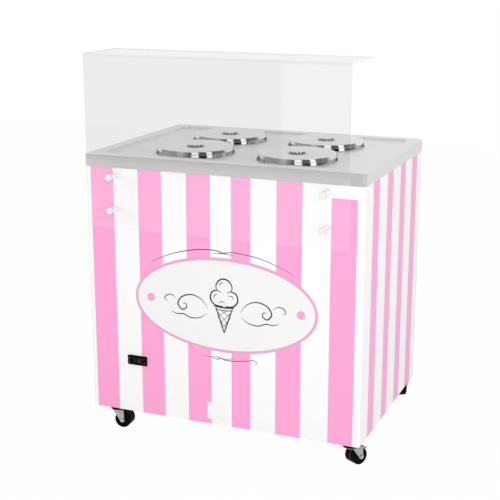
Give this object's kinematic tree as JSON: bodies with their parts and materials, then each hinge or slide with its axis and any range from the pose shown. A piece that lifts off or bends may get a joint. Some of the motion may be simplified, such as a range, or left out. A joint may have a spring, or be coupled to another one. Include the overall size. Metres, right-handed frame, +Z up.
{
  "type": "gelato display cabinet",
  "caption": "Free-standing gelato display cabinet on swivel casters, with lift-off round lids over cold wells in a steel worktop and a clear bent screen in front.",
  "frame": {"origin": "centre of the bounding box on the floor", "axes": "+Z up, the customer's side with the screen faces -Y, +X to the right of a person facing it"},
  "size_m": [1.0103, 0.81, 1.348],
  "materials": {
    "white_paint": "smooth gloss enamel",
    "pink_vinyl": "satin vinyl film",
    "white_plastic": "smooth white",
    "worktop_steel": "fine brushed stainless",
    "lid_steel": "spun brushed top, polished skirt",
    "tub_steel": "satin stainless",
    "polished_steel": "polished stainless",
    "zinc_steel": "zinc plated",
    "liner_aluminium": "mill finish",
    "fin_aluminium": "bare fins",
    "foam": "cut foam",
    "compressor_black": "black enamel",
    "motor_grey": "grey enamel",
    "copper": "drawn tube",
    "rubber_black": "moulded rubber",
    "black_plastic": "moulded",
    "dark_window": "smoked display",
    "clear_acrylic": "clear sheet, polished edges"
  },
  "bodies": {
    "cabinet": {"base_frame": "zinc_steel", "front_panel": "white_paint", "left_panel": "white_paint", "right_panel": "white_paint", "rear_panel": "white_paint", "front_stripes": "pink_vinyl", "side_stripes": "pink_vinyl", "sign_plate": "white_plastic", "sign_trim": "pink_vinyl", "worktop": "worktop_steel", "well_collars": "polished_steel", "cold_tank": "liner_aluminium", "tank_foam": "foam", "evaporator_plate": "liner_aluminium", "compressor": "compressor_black", "compressor_feet": "rubber_black", "condenser": "fin_aluminium", "fan_shroud": "zinc_steel", "fan_motor": "motor_grey", "refrigerant_pipes": "copper", "controller_bezel": "black_plastic", "controller_window": "dark_window", "mains_inlet": "black_plastic", "drain_cover": "white_plastic", "screen": "clear_acrylic", "screen_standoffs": "white_plastic", "screen_caps": "white_plastic", "caster_plates": "zinc_steel", "caster_bolts": "zinc_steel", "tub_fl": "tub_steel", "tub_fr": "tub_steel", "tub_bl": "tub_steel", "tub_br": "tub_steel"},
    "lid_body_fl": {"lid_fl": "lid_steel", "knob_fl": "polished_steel"},
    "swivel_fl": {"fork_fl": "zinc_steel", "axle_fl": "zinc_steel"},
    "wheel_body_fl": {"wheel_fl": "rubber_black"},
    "pedal_body_fl": {"brake_pedal_fl": "black_plastic"},
    "lid_body_fr": {"lid_fr": "lid_steel", "knob_fr": "polished_steel"},
    "swivel_fr": {"fork_fr": "zinc_steel", "axle_fr": "zinc_steel"},
    "wheel_body_fr": {"wheel_fr": "rubber_black"},
    "pedal_body_fr": {"brake_pedal_fr": "black_plastic"},
    "lid_body_bl": {"lid_bl": "lid_steel", "knob_bl": "polished_steel"},
    "swivel_bl": {"fork_bl": "zinc_steel", "axle_bl": "zinc_steel"},
    "wheel_body_bl": {"wheel_bl": "rubber_black"},
    "lid_body_br": {"lid_br": "lid_steel", "knob_br": "polished_steel"},
    "swivel_br": {"fork_br": "zinc_steel", "axle_br": "zinc_steel"},
    "wheel_body_br": {"wheel_br": "rubber_black"},
    "key_body_set": {"key_set": "black_plastic"},
    "key_body_up": {"key_up": "black_plastic"},
    "key_body_down": {"key_down": "black_plastic"},
    "key_body_power": {"key_power": "black_plastic"},
    "fan_body": {"fan_blades": "black_plastic"}
  },
  "joints": [
    {"name": "lid_fl_lift", "type": "slide", "parent": "cabinet", "child": "lid_body_fl", "axis": [0, 0, 1], "range_m": [0, 0.15]},
    {"name": "caster_fl_swivel", "type": "hinge", "parent": "cabinet", "child": "swivel_fl", "pos_m": [-0.4194, -0.303, 0.068], "axis": [0, 0, 1], "continuous": true},
    {"name": "wheel_fl_spin", "type": "hinge", "parent": "swivel_fl", "child": "wheel_body_fl", "pos_m": [-0.39745, -0.30146, 0.03], "axis": [-0.0698, 0.9976, 0], "continuous": true},
    {"name": "brake_fl_press", "type": "hinge", "parent": "swivel_fl", "child": "pedal_body_fl", "pos_m": [-0.40543, -0.30202, 0.0626], "axis": [-0.0698, 0.9976, 0], "range_deg": [0, 4]},
    {"name": "lid_fr_lift", "type": "slide", "parent": "cabinet", "child": "lid_body_fr", "axis": [0, 0, 1], "range_m": [0, 0.15]},
    {"name": "caster_fr_swivel", "type": "hinge", "parent": "cabinet", "child": "swivel_fr", "pos_m": [0.4618, -0.303, 0.068], "axis": [0, 0, 1], "continuous": true},
    {"name": "wheel_fr_spin", "type": "hinge", "parent": "swivel_fr", "child": "wheel_body_fr", "pos_m": [0.47313, -0.28414, 0.03], "axis": [-0.8572, 0.515, 0], "continuous": true},
    {"name": "brake_fr_press", "type": "hinge", "parent": "swivel_fr", "child": "pedal_body_fr", "pos_m": [0.46901, -0.291, 0.0626], "axis": [-0.8572, 0.515, 0], "range_deg": [0, 4]},
    {"name": "lid_bl_lift", "type": "slide", "parent": "cabinet", "child": "lid_body_bl", "axis": [0, 0, 1], "range_m": [0, 0.15]},
    {"name": "caster_bl_swivel", "type": "hinge", "parent": "cabinet", "child": "swivel_bl", "pos_m": [-0.4194, 0.345, 0.068], "axis": [0, 0, 1], "continuous": true},
    {"name": "wheel_bl_spin", "type": "hinge", "parent": "swivel_bl", "child": "wheel_body_bl", "pos_m": [-0.43845, 0.356, 0.03], "axis": [-0.5, -0.866, 0], "continuous": true},
    {"name": "lid_br_lift", "type": "slide", "parent": "cabinet", "child": "lid_body_br", "axis": [0, 0, 1], "range_m": [0, 0.15]},
    {"name": "caster_br_swivel", "type": "hinge", "parent": "cabinet", "child": "swivel_br", "pos_m": [0.4618, 0.345, 0.068], "axis": [0, 0, 1], "continuous": true},
    {"name": "wheel_br_spin", "type": "hinge", "parent": "swivel_br", "child": "wheel_body_br", "pos_m": [0.45014, 0.36366, 0.03], "axis": [-0.848, -0.5299, 0], "continuous": true},
    {"name": "key_set_press", "type": "slide", "parent": "cabinet", "child": "key_body_set", "axis": [0, 1, 0], "range_m": [0, 0.0008], "stiffness_N_per_m": 400},
    {"name": "key_up_press", "type": "slide", "parent": "cabinet", "child": "key_body_up", "axis": [0, 1, 0], "range_m": [0, 0.0008], "stiffness_N_per_m": 400},
    {"name": "key_down_press", "type": "slide", "parent": "cabinet", "child": "key_body_down", "axis": [0, 1, 0], "range_m": [0, 0.0008], "stiffness_N_per_m": 400},
    {"name": "key_power_press", "type": "slide", "parent": "cabinet", "child": "key_body_power", "axis": [0, 1, 0], "range_m": [0, 0.0008], "stiffness_N_per_m": 400},
    {"name": "fan_spin", "type": "hinge", "parent": "cabinet", "child": "fan_body", "pos_m": [-0.165, 0.277, 0.255], "axis": [0, 1, 0], "continuous": true}
  ]
}
